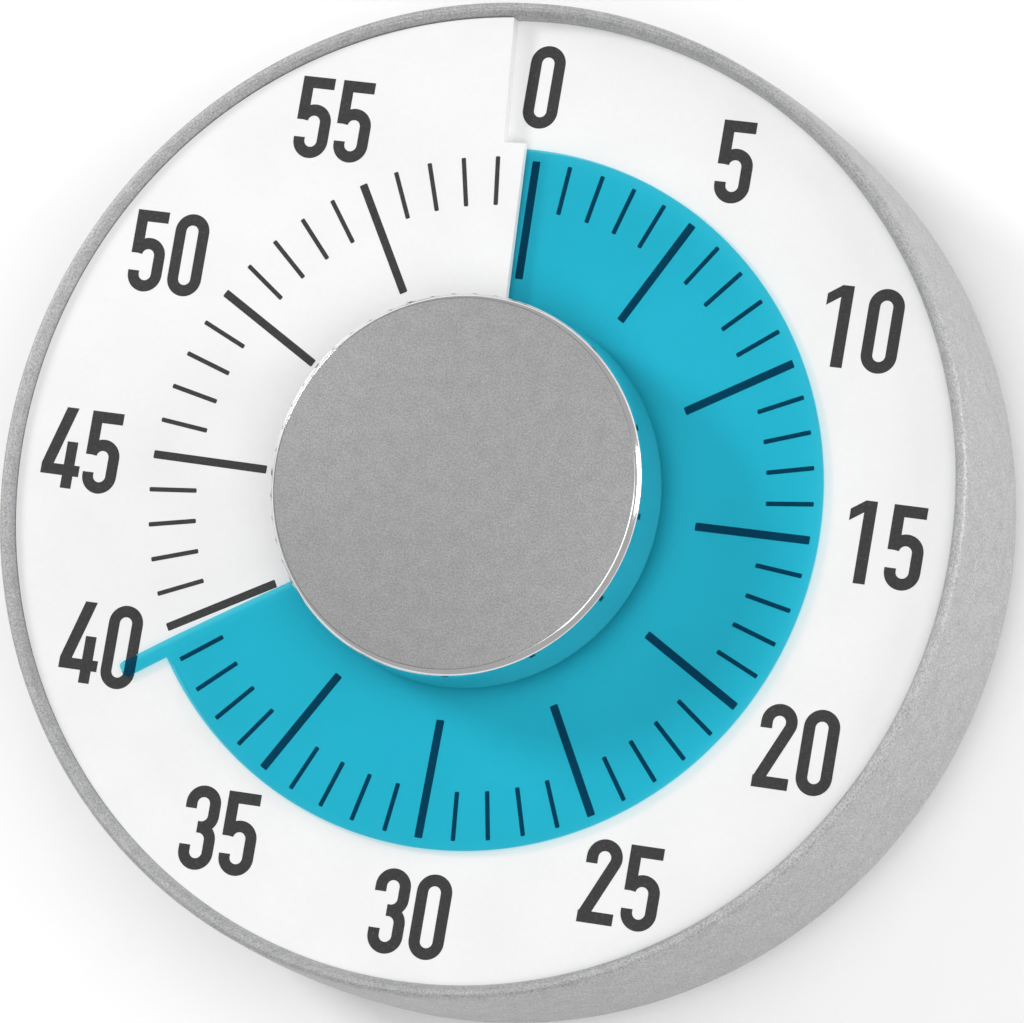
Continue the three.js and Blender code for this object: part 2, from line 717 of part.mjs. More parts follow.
addPart('case_shell', caseShell(), SILVER);
addPart('bezel_ring', bezelRing(), SILVER);
addPart('dial_plate', dialPlate(), WHITE);
addPart('time_disc', timeDisc(), BLUE_FILM);
addPart('disc_hub', discHub(), GREY_PLASTIC);
addPart('knob_body', knobBody(), CHROME);
addPart('knob_face', knobFace(), SATIN);
addPart('rear_cover', rearCover(), GREY_PLASTIC);
footCentres().forEach((centre, i) => addPart(`rubber_foot_${i + 1}`, rubberFoot(), RUBBER, centre));
magnetCentres().forEach((centre, i) => {
  const disc = cylinder(MAGNET_RADIUS, FOOT_HEIGHT + FIT, FOOT_HEIGHT + MAGNET_DEPTH, MEDIUM_SIDES);
  addPart(`magnet_${i + 1}`, disc, STEEL, centre);
});
PILLARS.forEach(([x, y], i) => {
  const centre = new THREE.Vector2(x, y);
  addPart(`movement_pillar_${i + 1}`, pillar(), BRASS, centre);
  addPart(`cover_screw_${i + 1}`, coverScrew(), STEEL, centre);
});
addPart('rear_movement_plate', movementPlate(REAR_PLATE, ARBOR_SPIGOT + FIT), BRASS);
addPart('front_movement_plate', movementPlate(FRONT_PLATE, BUSHING_RADIUS + FIT), BRASS);
addPart('main_bushing', mainBushing(), BRASS);
addPart('mainspring', mainspring(), STEEL);
addPart('main_arbor', mainArbor(), STEEL);
addPart('main_wheel', gearWheel(MAIN_STAGE, ARBOR_RADIUS + FIT), BRASS, MAIN_CENTRE, MAIN_STAGE.height,
  wheelTurn(MAIN_CENTRE, SECOND_CENTRE));
addPart('clutch_spring', clutchSpring(), STEEL);
addPart('strike_cam', strikeCam(), BRASS);
addPart('second_arbor', pinionArbor(MAIN_STAGE), STEEL, SECOND_CENTRE, 0,
  pinionTurn(MAIN_CENTRE, SECOND_CENTRE, MAIN_STAGE.leaves));
addPart('second_wheel', gearWheel(SECOND_STAGE, SPINDLE_RADIUS + FIT), BRASS, SECOND_CENTRE,
  SECOND_STAGE.height, wheelTurn(SECOND_CENTRE, THIRD_CENTRE));
addPart('third_arbor', pinionArbor(SECOND_STAGE), STEEL, THIRD_CENTRE, 0,
  pinionTurn(SECOND_CENTRE, THIRD_CENTRE, SECOND_STAGE.leaves));
addPart('third_wheel', gearWheel(THIRD_STAGE, SPINDLE_RADIUS + FIT), BRASS, THIRD_CENTRE,
  THIRD_STAGE.height, wheelTurn(THIRD_CENTRE, ESCAPE_CENTRE));
addPart('escape_arbor', pinionArbor(THIRD_STAGE), STEEL, ESCAPE_CENTRE, 0,
  pinionTurn(THIRD_CENTRE, ESCAPE_CENTRE, THIRD_STAGE.leaves));
addPart('escape_wheel', escapeWheel(), BRASS, ESCAPE_CENTRE);
addPart('balance_arbor', pivotedSpindle(ESCAPE_HEIGHT), STEEL, BALANCE_CENTRE);
addPart('balance_wheel', balanceWheel(), BRASS, BALANCE_CENTRE);
addPart('pallet', pallet(), STEEL, BALANCE_CENTRE, 0, wheelTurn(BALANCE_CENTRE, ESCAPE_CENTRE));
addPart('hammer_arbor', pivotedSpindle(ESCAPE_HEIGHT), STEEL, HAMMER_CENTRE);
addPart('hammer', hammer(), STEEL, HAMMER_CENTRE);
addPart('hammer_spring', hammerSpring(), STEEL);
addPart('bell', bell(), BRASS, BELL_CENTRE);
addPart('bell_post', bellPost(), STEEL, BELL_CENTRE);
addPart('bell_nut', bellNut(), BRASS, BELL_CENTRE);

export default timer;
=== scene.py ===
"""The looks of a 60-minute mechanical kitchen timer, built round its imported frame."""

import json
import math

import bmesh
import bpy
from mathutils import Matrix, Vector


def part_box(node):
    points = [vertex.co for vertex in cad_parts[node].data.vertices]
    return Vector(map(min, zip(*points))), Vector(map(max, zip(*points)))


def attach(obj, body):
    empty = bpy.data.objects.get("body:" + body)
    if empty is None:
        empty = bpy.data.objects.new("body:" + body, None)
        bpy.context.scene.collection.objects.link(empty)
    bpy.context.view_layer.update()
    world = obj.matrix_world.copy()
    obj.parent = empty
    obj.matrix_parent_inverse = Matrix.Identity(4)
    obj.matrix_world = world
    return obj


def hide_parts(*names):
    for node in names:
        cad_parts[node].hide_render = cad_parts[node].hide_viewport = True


bl_info = {
    "name": "Kitchen timer",
    "version": (1, 0, 0),
    "blender": (4, 5, 0),
    "location": "View3D > Sidebar > Kitchen timer",
    "description": "Builds the visible pieces, finishes and stage of a kitchen timer",
    "category": "Object",
}

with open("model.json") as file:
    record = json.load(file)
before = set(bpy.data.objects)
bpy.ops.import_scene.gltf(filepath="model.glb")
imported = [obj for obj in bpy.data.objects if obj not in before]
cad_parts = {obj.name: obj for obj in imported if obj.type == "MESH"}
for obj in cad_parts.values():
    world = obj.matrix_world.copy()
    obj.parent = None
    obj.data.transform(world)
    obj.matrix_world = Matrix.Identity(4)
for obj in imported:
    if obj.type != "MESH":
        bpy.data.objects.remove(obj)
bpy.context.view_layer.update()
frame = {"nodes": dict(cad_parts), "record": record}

MM = 0.001
UP = Vector((0, 0, 1))
ORIGIN = Vector((0, 0, 0))
AROUND = 288
BORE_SIDES = 64
WELD = 1e-7
SLIVER = 2e-6
MINUTE = 6

CASE_LOW, CASE_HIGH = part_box("case_shell")
BEZEL_LOW, BEZEL_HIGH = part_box("bezel_ring")
COVER_LOW, COVER_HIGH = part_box("rear_cover")
KNOB_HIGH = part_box("knob_body")[1]
FACE_LOW, FACE_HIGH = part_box("knob_face")
DIAL_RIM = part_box("dial_plate")[1].x

# The dial and the film follow one shallow screw, which rises clockwise by SCREW_LIFT in a full turn
DIAL_HEIGHT = KNOB_HIGH.z - 6.4 * MM
SCREW_LIFT = 1.2 * MM
DIAL_BORE = 9.2 * MM
DIAL_SPLIT = 28.25 * MM
DIAL_SKIN = 0.66 * MM
SLIT_CLOCK = -1.6
STEP_CLOCK = -5.2
COLUMN = 1.2
DISH_SLOPE = 0.06
DISH_RADIUS = 27.94 * MM
DISH_BLEND = 0.5 * MM
FILM_TOP = 0.45 * MM
FILM_SKIN = 0.25 * MM
FILM_BORE = 8.6 * MM
FILM_SPAN = 356.0
FILM_EDGE = 238.6
# The film's leading edge leans back by LEAN degrees at the pointer's tip, fading out over LEAN_BLEND
LEAN = 1.0
LEAN_BLEND = 10.0
LEAN_START = 15 * MM
POINTER_CORNER = 0.32 * MM
POINTER_STEPS = 8
MARK_CORNER = 0.09 * MM
PRINT_RISE = 0.015 * MM
PRINT_SINK = 0.04 * MM
# The numbers are printed a little anticlockwise of their marks, and the 40 higher than its own
NUMBER_TURN = -0.7
FORTY_RISE = 0.9 * MM
DIGIT_HALF = 1.44
DIGIT_STROKE = 0.92
DIGIT_PITCH = 3.4
ARC_STEP = 7.5

# Each lamp's name, its place and its side in metres, and its power in watts
LAMPS = (
    ("key", (-0.415, 0.185, 0.3), 0.13, 1.1),
    ("fill", (0.92, 0.29, 0.2), 0.4, 3.9),
    ("main", (0.42, -0.15, 1.12), 1.2, 8.0),
)
SKY_STRENGTH = 0.45
CAMERA_LENS = 228.5
CAMERA_PLACE = Vector((158.2, -62.5, 498.6)) * MM
CAMERA_BACK = Vector((0.3055, -0.1215, 0.9444))
CAMERA_UP = Vector((-0.1236, 0.9784, 0.1659))


# Shapes

def clock_point(radius, clock, height=0.0):
    """A point at a clock angle, in degrees clockwise from the dial's 0."""
    angle = math.radians(clock)
    return Vector((radius * math.sin(angle), radius * math.cos(angle), height))


def screw_height(clock):
    """How high the screw is at a clock angle."""
    return DIAL_HEIGHT + SCREW_LIFT * (clock / 360 - 0.5)


def dish(radius):
    """How far the dial's middle lies below its rim."""
    inside = DISH_RADIUS - radius
    return -DISH_SLOPE * (inside + math.hypot(inside, DISH_BLEND)) / 2


def rail(bm, points, closed=False):
    """A line of edges through the points, and round to the first where it is closed."""
    verts = [bm.verts.new(point) for point in points]
    pairs = list(zip(verts, verts[1:]))
    if closed:
        pairs.append((verts[-1], verts[0]))
    return verts + [bm.edges.new(pair) for pair in pairs]


def cleaned(bm):
    """Merges doubles and turns every face outwards."""
    bmesh.ops.remove_doubles(bm, verts=bm.verts[:], dist=WELD)
    bmesh.ops.recalc_face_normals(bm, faces=bm.faces[:])
    return bm


def turned(profile, closed=True):
    """A profile of (radius, height) points turned all the way round Z."""
    bm = bmesh.new()
    line = rail(bm, [(radius, 0, height) for radius, height in profile], closed)
    bmesh.ops.spin(
        bm, geom=line, cent=ORIGIN, axis=UP, angle=2 * math.pi, steps=AROUND, use_merge=True
    )
    return cleaned(bm)


def soften(bm, width, segments, angle):
    """Rounds every edge that is sharper than angle."""
    sharp = [e for e in bm.edges if e.is_manifold and e.calc_face_angle() > math.radians(angle)]
    bmesh.ops.bevel(
        bm, geom=sharp, offset=width, offset_type="OFFSET", segments=segments,
        profile=0.5, affect="EDGES", clamp_overlap=True, material=-1,
    )
    return bm


def wind(bm, line, span, columns):
    """Sweeps a line clockwise up the screw and returns where it ends."""
    return bmesh.ops.spin(
        bm, geom=line, cent=ORIGIN, axis=-UP, dvec=UP * SCREW_LIFT * span / 360 / columns,
        angle=math.radians(span), steps=columns,
    )["geom_last"]


def screw_line(bm, radii, clock, height):
    """A line out from the axis at a clock angle, at a height above the screw for each radius."""
    return rail(bm, [clock_point(r, clock, screw_height(clock) + height(r)) for r in radii])


def only(kind, geometry):
    return [item for item in geometry if isinstance(item, kind)]


def thicken(bm, depth):
    """Gives an open sheet a wall by drawing it downwards."""
    drawn = bmesh.ops.extrude_face_region(bm, geom=bm.faces[:])["geom"]
    bmesh.ops.translate(bm, verts=only(bmesh.types.BMVert, drawn), vec=-UP * depth)
    bmesh.ops.recalc_face_normals(bm, faces=bm.faces[:])
    return bm


def solid_sheet(bm, depth):
    """Gives an open sheet a wall behind it, square to it everywhere."""
    bmesh.ops.recalc_face_normals(bm, faces=bm.faces[:])
    if sum(face.normal.z for face in bm.faces) < 0:
        bmesh.ops.reverse_faces(bm, faces=bm.faces[:])
    bmesh.ops.solidify(bm, geom=bm.faces[:], thickness=depth)
    return bm


def moved(bm, offset):
    bmesh.ops.translate(bm, verts=bm.verts[:], vec=offset)
    return bm


def mesh_of(bm, name):
    mesh = bpy.data.meshes.new(name)
    bm.to_mesh(mesh)
    bm.free()
    return mesh


def combined(name, base, tool, operation):
    """One closed mesh from two, joined or cut."""
    objects = [bpy.data.objects.new(name + "_part", mesh_of(bm, name)) for bm in (base, tool)]
    for part in objects:
        bpy.context.scene.collection.objects.link(part)
    modifier = objects[0].modifiers.new("combine", "BOOLEAN")
    modifier.operation = operation
    modifier.solver = "EXACT"
    modifier.object = objects[1]
    graph = bpy.context.evaluated_depsgraph_get()
    result = bmesh.new()
    result.from_object(objects[0], graph)
    for part in objects:
        bpy.data.meshes.remove(part.data)
    if not result.faces:
        raise RuntimeError(f"{name}: nothing is left after {operation}")
    return result


def finish_piece(bm, name, finish, body, nodes=(), crease=35.0):
    """Makes a piece that rides on a body and replaces the nodes it stands for."""
    mesh = mesh_of(bm, name)
    mesh.shade_smooth()
    mesh.set_sharp_from_angle(angle=math.radians(crease))
    mesh.materials.append(finish)
    piece = bpy.data.objects.new(name, mesh)
    bpy.context.scene.collection.objects.link(piece)
    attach(piece, body)
    if nodes:
        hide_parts(*nodes)
    return piece


# Finishes

def add(tree, kind, inputs=(), **settings):
    """A node whose inputs are linked or set, each by its name or number."""
    made = tree.nodes.new(kind)
    for name, value in settings.items():
        setattr(made, name, value)
    for name, value in dict(inputs).items():
        if isinstance(value, bpy.types.NodeSocket):
            tree.links.new(value, made.inputs[name])
        else:
            made.inputs[name].default_value = value
    return made


def plain(name, sockets):
    """A new material with these values on its shader."""
    made = bpy.data.materials.new(name)
    made.use_nodes = True
    shader = made.node_tree.nodes["Principled BSDF"]
    for socket, value in sockets.items():
        shader.inputs[socket].default_value = value
    return made.node_tree, shader, made


def place_on(tree, stretch):
    coordinate = add(tree, "ShaderNodeTexCoord").outputs["Object"]
    return add(tree, "ShaderNodeMapping", {"Vector": coordinate, "Scale": stretch}).outputs[0]


def grain(tree, size, detail=2.0, stretch=(1, 1, 1)):
    """Noise whose features are about this size, in metres."""
    inputs = {"Vector": place_on(tree, stretch), "Scale": 1 / size, "Detail": detail}
    return add(tree, "ShaderNodeTexNoise", inputs).outputs["Fac"]


def spread(tree, value, low, high, source=(0.3, 0.7)):
    """A value taken from its source range to low and high."""
    inputs = {
        "Value": value, "From Min": source[0], "From Max": source[1], "To Min": low, "To Max": high,
    }
    return add(tree, "ShaderNodeMapRange", inputs).outputs["Result"]


def tinted(tree, colour, shade):
    """A colour made lighter and darker by a value that is 1 on average."""
    scaled = add(tree, "ShaderNodeVectorMath", {0: colour[:3], 3: shade}, operation="SCALE")
    return scaled.outputs[0]


def times(tree, one, other):
    return add(tree, "ShaderNodeMath", {0: one, 1: other}, operation="MULTIPLY").outputs[0]


def bumped(tree, shader, height, distance):
    inputs = {"Height": height, "Distance": distance, "Strength": 1.0}
    tree.links.new(add(tree, "ShaderNodeBump", inputs).outputs["Normal"], shader.inputs["Normal"])


def worn_edge(tree, amount):
    """1 on flat ground, and lighter along sharp outer edges, by their pointiness."""
    pointed = add(tree, "ShaderNodeNewGeometry").outputs["Pointiness"]
    return spread(tree, pointed, 1.0, 1 + amount, (0.52, 0.62))


def grained_metal(name, colour, metallic, roughness, size, contrast, relief, edge_lift=0.0):
    """Metal, or paint full of fine flakes: a tight sparkle over slow mottling."""
    tree, shader, made = plain(name, {"Metallic": metallic})
    fine = grain(tree, size)
    slow = grain(tree, size * 9, 3.0)
    shade = times(tree, spread(tree, fine, 1 - contrast, 1 + contrast),
                  spread(tree, slow, 1 - contrast / 4, 1 + contrast / 4))
    # Sharp outer edges of the paint are made lighter, by their pointiness
    if edge_lift:
        shade = times(tree, shade, worn_edge(tree, edge_lift))
    tree.links.new(tinted(tree, colour, shade), shader.inputs["Base Color"])
    tree.links.new(spread(tree, fine, roughness + 0.06, roughness - 0.06), shader.inputs["Roughness"])
    bumped(tree, shader, fine, relief)
    return made


def polished_metal(name, colour, roughness):
    """Bright metal with hairline rubbing."""
    tree, shader, made = plain(name, {"Metallic": 1.0})
    hair = grain(tree, 0.4 * MM, 4.0, (1, 1, 12))
    film = grain(tree, 3 * MM)
    tree.links.new(tinted(tree, colour, spread(tree, film, 0.97, 1.03)), shader.inputs["Base Color"])
    tree.links.new(spread(tree, hair, roughness * 0.7, roughness * 1.5), shader.inputs["Roughness"])
    bumped(tree, shader, film, 0.002 * MM)
    return made


def brushed_metal(name, colour, roughness):
    """Sheet or bar stock with a fine grain along X."""
    tree, shader, made = plain(name, {"Metallic": 1.0})
    lines = grain(tree, 0.12 * MM, 3.0, (0.06, 1, 1))
    stain = grain(tree, 2.5 * MM, 3.0)
    shade = times(tree, spread(tree, lines, 0.92, 1.06), spread(tree, stain, 0.93, 1.04))
    tree.links.new(tinted(tree, colour, shade), shader.inputs["Base Color"])
    tree.links.new(spread(tree, lines, roughness - 0.07, roughness + 0.1), shader.inputs["Roughness"])
    bumped(tree, shader, lines, 0.004 * MM)
    return made


def moulded_plastic(name, colour, roughness, size, relief, contrast):
    """Plastic or rubber with a fine texture and slow clouds in its shade."""
    tree, shader, made = plain(name, {"Specular IOR Level": 0.5})
    texture = grain(tree, size)
    cloud = grain(tree, 6 * MM, 3.0)
    shade = times(tree, spread(tree, texture, 1 - contrast, 1 + contrast),
                  spread(tree, cloud, 0.985, 1.01))
    tree.links.new(tinted(tree, colour, shade), shader.inputs["Base Color"])
    tree.links.new(spread(tree, cloud, roughness - 0.04, roughness + 0.06), shader.inputs["Roughness"])
    bumped(tree, shader, texture, relief)
    return made


def screen_ink(name, colour):
    """Printed ink: dark, slightly uneven, with pinholes where the ground shows."""
    tree, shader, made = plain(name, {"Roughness": 0.5, "Specular IOR Level": 0.4})
    body = grain(tree, 0.25 * MM, 3.0)
    holes = grain(tree, 0.12 * MM, 1.0)
    shade = times(tree, spread(tree, body, 0.75, 1.3), spread(tree, holes, 1.0, 3.2, (0.66, 0.76)))
    tree.links.new(tinted(tree, colour, shade), shader.inputs["Base Color"])
    bumped(tree, shader, body, 0.002 * MM)
    return made


def tinted_film(name, tint, body):
    """A coloured transparent film: it filters what lies under it and scatters a little light."""
    tree, shader, made = plain(name, {"Roughness": 0.3, "Specular IOR Level": 0.0})
    ripple = grain(tree, 5 * MM, 2.0)
    tree.links.new(tinted(tree, body, spread(tree, ripple, 0.9, 1.1)), shader.inputs["Base Color"])
    clear = add(tree, "ShaderNodeBsdfTransparent", {"Color": tint})
    gloss = add(tree, "ShaderNodeBsdfGlossy", {"Color": (1, 1, 1, 1)})
    tree.links.new(spread(tree, ripple, 0.16, 0.22), gloss.inputs["Roughness"])
    wave = add(tree, "ShaderNodeBump", {"Height": ripple, "Distance": 0.05 * MM, "Strength": 0.5})
    for node in (shader, gloss):
        tree.links.new(wave.outputs["Normal"], node.inputs["Normal"])
    share = {0: 0.04, 1: clear.outputs[0], 2: shader.outputs[0]}
    inner = add(tree, "ShaderNodeMixShader", share)
    rim = add(tree, "ShaderNodeFresnel", {"IOR": 1.12})
    sheen = {0: rim.outputs[0], 1: inner.outputs[0], 2: gloss.outputs[0]}
    outer = add(tree, "ShaderNodeMixShader", sheen)
    tree.links.new(outer.outputs[0], tree.nodes["Material Output"].inputs["Surface"])
    return made


# Printed figures: each stroke is a flat edge drawn along lines and arcs, in millimetres.
# A stroke is on one of two layers, so that the strokes of a layer never overlap.

def stroke_table():
    """Each figure's strokes: the layer, the two ends of the first edge, and the moves."""
    half, stroke = DIGIT_HALF, DIGIT_STROKE
    inner = half - stroke
    bend = 3.35 - half
    flat = 3.25
    lean = 24.5
    middle = 0.05
    reach = half - stroke / 2
    bowl = -0.41
    sweep = 172
    across, up = math.cos(math.radians(sweep)), math.sin(math.radians(sweep))
    bowl_edge = (half * across, half * up + bowl, inner * across, inner * up + bowl)

    def left(y):
        return (-half, y, -inner, y)

    return {
        "0": [(0, left(-bend), [("by", 0, 2 * bend), ("arc", bend, -180), ("by", 0, -2 * bend),
                                ("arc", -bend, -180)])],
        "1": [(0, (-0.33, -flat, 0.62, -flat), [("by", 0, 2 * flat)]),
              (1, (-0.3, 2.33, -0.3, 3.25), [("by", -1.13, -0.78)])],
        "2": [(0, left(bend - 0.53), [("by", 0, 0.53), ("arc", bend, -180 - lean),
                                      ("down", lean, -flat + stroke - 0.03)]),
              (1, (-half, -flat, -half, stroke - flat), [("by", 2 * half, 0)])],
        "3": [(0, left(1.46), [("by", 0, bend - 1.46), ("arc", bend, -180),
                               ("by", 0, middle + reach - bend), ("arc", middle + reach, -90),
                               ("by", -0.22, 0)]),
              (1, left(-1.42), [("by", 0, 1.42 - bend), ("arc", -bend, 180),
                                ("by", 0, bend + middle - reach), ("arc", middle - reach, 90),
                                ("by", -0.22, 0)])],
        "4": [(0, (-1.63, -2.24, -1.63, -1.36), [("by", 3.26, 0)]),
              (1, (-0.25, flat, 0.75, flat), [("by", -1.38, -flat - 1.38)]),
              (1, (0.25, 0.52, 1.16, 0.52), [("by", 0, -flat - 0.52)])],
        "5": [(0, (1.25, flat, 1.25, flat - stroke), [("by", -1.25 - half, 0)]),
              (1, left(flat - stroke / 2), [("by", 0, stroke / 2 - flat - 0.28)]),
              (0, bowl_edge, [("arc", bowl, -sweep), ("by", 0, -bowl - bend), ("arc", -bend, -180),
                              ("by", 0, 0.22)])],
    }


def draw_stroke(bm, edge, moves):
    """Draws one stroke of a figure whose middle is at the origin."""
    x0, y0, x1, y1 = edge
    tip = rail(bm, [Vector((x, y, 0)) * MM for x, y in ((x0, y0), (x1, y1))])
    for kind, *amounts in moves:
        if kind == "arc":
            pivot = Vector((0, amounts[0], 0)) * MM
            tip = bmesh.ops.spin(
                bm, geom=tip, cent=pivot, axis=UP, angle=math.radians(amounts[1]),
                steps=max(6, round(abs(amounts[1]) / ARC_STEP)),
            )["geom_last"]
            continue
        made = bmesh.ops.extrude_edge_only(bm, edges=only(bmesh.types.BMEdge, tip))["geom"]
        verts = only(bmesh.types.BMVert, made)
        tip = verts + only(bmesh.types.BMEdge, made)
        if kind == "by":
            bmesh.ops.translate(bm, verts=verts, vec=Vector((*amounts, 0)) * MM)
            continue
        lean, level = amounts
        for vert in verts:
            drop = vert.co.y - level * MM
            vert.co += Vector((-drop * math.tan(math.radians(lean)), -drop, 0))


def lay_on_dial(bm):
    """Drops flat print, drawn round height 0, on to the dial."""
    for vert in bm.verts:
        clock = math.degrees(math.atan2(vert.co.x, vert.co.y)) % 360
        if clock > 360 + STEP_CLOCK:
            clock -= 360
        radius = math.hypot(vert.co.x, vert.co.y)
        vert.co.z += screw_height(clock) + dish(radius)
    return bm


def slab(bm):
    """Turns flat print into a thin layer that is let a little way into the dial."""
    cleaned(bm)
    moved(bm, UP * PRINT_RISE)
    return thicken(bm, PRINT_RISE + PRINT_SINK)


# Settings

def length(name, description, default):
    """A size that a user can change."""
    return bpy.props.FloatProperty(
        name=name, description=description, default=default, min=0.0, unit="LENGTH", subtype="DISTANCE",
        precision=5,
    )


def colour(name, description, default):
    """A colour that a user can change."""
    return bpy.props.FloatVectorProperty(
        name=name, description=description, default=default, min=0.0, max=1.0, size=3, subtype="COLOR",
    )


class KitchenTimerSizes(bpy.types.PropertyGroup):
    minute_mark_width: length("Minute mark width", "Width of the 48 thin marks", 0.36 * MM)
    five_mark_width: length("Five-minute mark width", "Width of the 12 thick marks", 0.65 * MM)
    mark_outer: length("Mark outer radius", "Radius where every mark starts", 27.13 * MM)
    minute_mark_inner: length("Minute mark inner radius", "Radius where a thin mark ends", 23.25 * MM)
    five_mark_inner: length("Five-minute mark inner radius", "Radius where a thick mark ends",
                            17.72 * MM)
    number_circle: length("Number circle", "Radius of the circle that the numbers stand on", 33.1 * MM)
    pointer_reach: length("Pointer reach", "Radius of the tip of the film's pointer", 31.75 * MM)
    pointer_width: length("Pointer width", "Width of the film's pointer", 1.35 * MM)
    paint_grain: length("Paint grain", "Size of the flakes in the silver paint", 0.16 * MM)
    face_grain: length("Knob grain", "Size of the grain of the knob's face", 0.13 * MM)


class KitchenTimerColours(bpy.types.PropertyGroup):
    paint: colour("Case paint", "Silver paint of the case", (0.42, 0.42, 0.42))
    dial: colour("Dial", "White of the dial", (0.84, 0.84, 0.84))
    ink: colour("Ink", "Print on the dial", (0.024, 0.024, 0.024))
    film: colour("Film tint", "What one face of the film lets through", (0.41, 0.88, 0.925))
    film_body: colour("Film body", "Light that the film scatters", (0.0, 0.25, 0.8))
    knob: colour("Knob face", "Satin face of the knob", (0.325, 0.325, 0.325))
    rim: colour("Knob rim", "Polished side of the knob", (0.82, 0.82, 0.83))
    plastic: colour("Cover", "Moulded back cover", (0.13, 0.132, 0.135))
    rubber: colour("Feet", "Rubber feet", (0.02, 0.02, 0.021))
    nickel: colour("Magnets", "Nickel on the magnets", (0.62, 0.6, 0.56))
    brass: colour("Brass", "Plates and wheels of the movement", (0.65, 0.46, 0.17))
    steel: colour("Steel", "Arbors, springs and screws", (0.5, 0.5, 0.52))


# Pieces

class KITCHENTIMER_OT_case(bpy.types.Operator):
    """Build the painted drum and the thin ring inside its lip"""

    bl_idname = "kitchentimer.case"
    bl_label = "Case and bezel"
    bl_options = {"REGISTER", "UNDO"}

    def execute(self, context):
        sizes = context.scene.kitchen_timer_sizes
        colours = context.scene.kitchen_timer_colours
        paint = grained_metal(
            "silver_paint", colours.paint, metallic=0.4, roughness=0.55, size=sizes.paint_grain,
            contrast=0.27, relief=0.012 * MM, edge_lift=0.06,
        )
        radius, back, lip = CASE_HIGH.x, CASE_LOW.z, CASE_HIGH.z
        ledge = BEZEL_LOW.z

        def inward(by):
            return radius - by * MM

        shell = turned([
            (inward(3.2), back),
            (inward(0.9), back),
            (inward(0.42), back + 0.14 * MM),
            (inward(0.16), back + 0.5 * MM),
            (inward(0.06), back + 1.3 * MM),
            (inward(0.0), back + 5.0 * MM),
            (inward(0.03), back + 8.0 * MM),
            (inward(0.12), back + 11.0 * MM),
            (inward(0.27), back + 13.6 * MM),
            (inward(0.4), back + 15.4 * MM),
            (inward(0.46), lip - 0.62 * MM),
            (inward(0.52), lip - 0.36 * MM),
            (inward(0.62), lip - 0.16 * MM),
            (inward(0.76), lip - 0.04 * MM),
            (inward(0.9), lip),
            (inward(1.02), lip - 0.03 * MM),
            (inward(1.08), lip - 0.08 * MM),
            (inward(1.08), ledge),
            (inward(3.5), ledge - 0.03 * MM),
            (inward(3.5), ledge - 2.2 * MM),
            (inward(2.6), ledge - 2.2 * MM),
            (inward(2.6), back + 5.2 * MM),
            (inward(3.2), back + 4.6 * MM),
        ])
        finish_piece(shell, "drum_case", paint, "case", ["case_shell"], crease=50)
        inner, outer, top = DIAL_RIM + 0.01 * MM, BEZEL_HIGH.x + 0.05 * MM, BEZEL_HIGH.z
        band = turned([
            (inner, ledge),
            (outer, ledge),
            (outer, top - 0.1 * MM),
            (outer - 0.05 * MM, top - 0.1 * MM),
            (outer - 0.13 * MM, top - 0.14 * MM),
            (outer - 0.24 * MM, top - 0.28 * MM),
            (inner + 0.13 * MM, top - 0.6 * MM),
            (inner, top - 1.2 * MM),
        ])
        finish_piece(band, "lip_ring", paint, "case", ["bezel_ring"], crease=50)
        return {"FINISHED"}


class KITCHENTIMER_OT_dial(bpy.types.Operator):
    """Build the white dial, with its slit and the step beside the 0"""

    bl_idname = "kitchentimer.dial"
    bl_label = "Dial"
    bl_options = {"REGISTER", "UNDO"}

    def execute(self, context):
        colours = context.scene.kitchen_timer_colours
        white = moulded_plastic(
            "dial_white", colours.dial, roughness=0.36, size=0.5 * MM, relief=0.004 * MM,
            contrast=0.008,
        )
        columns = round(360 / COLUMN)
        bm = bmesh.new()
        rings = [r * MM for r in (14, 20, 24, 26, 27, 27.6)]
        middle = [DIAL_BORE, *rings, DISH_RADIUS, DIAL_SPLIT]
        tucked = screw_line(bm, middle, SLIT_CLOCK - COLUMN, dish)
        wind(bm, tucked, 360 + COLUMN, columns + 1)
        border = [DIAL_SPLIT, 28.7 * MM, 29.4 * MM, 33 * MM, DIAL_RIM - 0.25 * MM, DIAL_RIM]
        low_side = screw_line(bm, border, STEP_CLOCK, dish)
        high_side = wind(bm, low_side, 360, columns)
        bmesh.ops.bridge_loops(bm, edges=only(bmesh.types.BMEdge, low_side + high_side))
        bmesh.ops.remove_doubles(bm, verts=bm.verts[:], dist=SLIVER)
        solid_sheet(bm, DIAL_SKIN)
        finish_piece(bm, "dial", white, "case", ["dial_plate"], crease=30)
        return {"FINISHED"}


